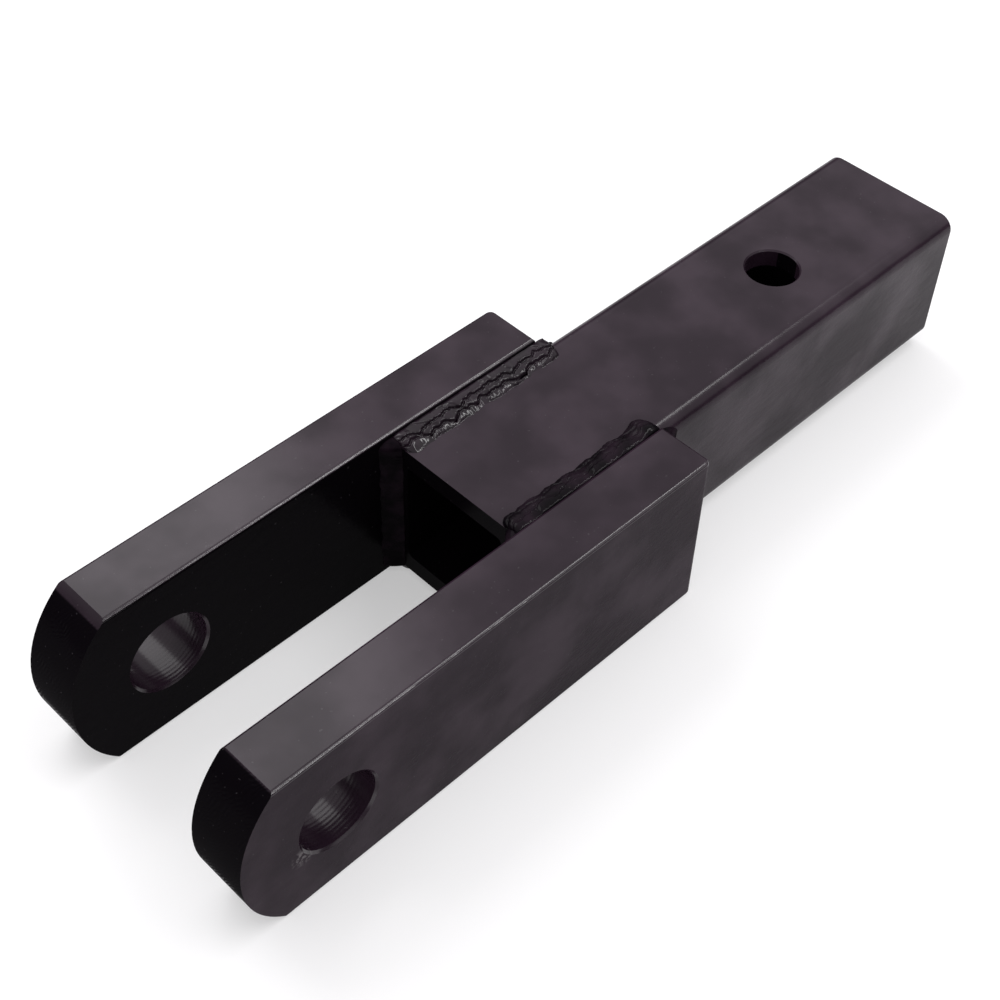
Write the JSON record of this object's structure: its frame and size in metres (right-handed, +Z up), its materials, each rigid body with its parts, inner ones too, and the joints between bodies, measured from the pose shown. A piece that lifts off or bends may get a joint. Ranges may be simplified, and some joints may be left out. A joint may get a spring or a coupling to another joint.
{
  "type": "trailer hitch clevis connector",
  "caption": "Black steel hitch connector: a square receiver shank with a cross hole for its pin, and two flat bar arms welded to its sides that end in bored round noses.",
  "frame": {"origin": "where the hitch pin's axis crosses the shank's axis", "axes": "+X along the shank into the receiver, +Y towards the left arm, +Z up along the hitch pin"},
  "size_m": [0.3166, 0.0888, 0.0572],
  "materials": {
    "black_coating": "glossy black powder coat over hot rolled steel",
    "coated_weld": "glossy black powder coat over rippled weld metal"
  },
  "bodies": {
    "root": {"receiver_tube": "black_coating", "left_arm": "black_coating", "right_arm": "black_coating", "left_top_weld": "coated_weld", "right_top_weld": "coated_weld", "left_bottom_weld": "coated_weld", "right_bottom_weld": "coated_weld", "left_front_weld": "coated_weld", "right_front_weld": "coated_weld", "left_rear_weld": "coated_weld", "right_rear_weld": "coated_weld"}
  },
  "joints": []
}
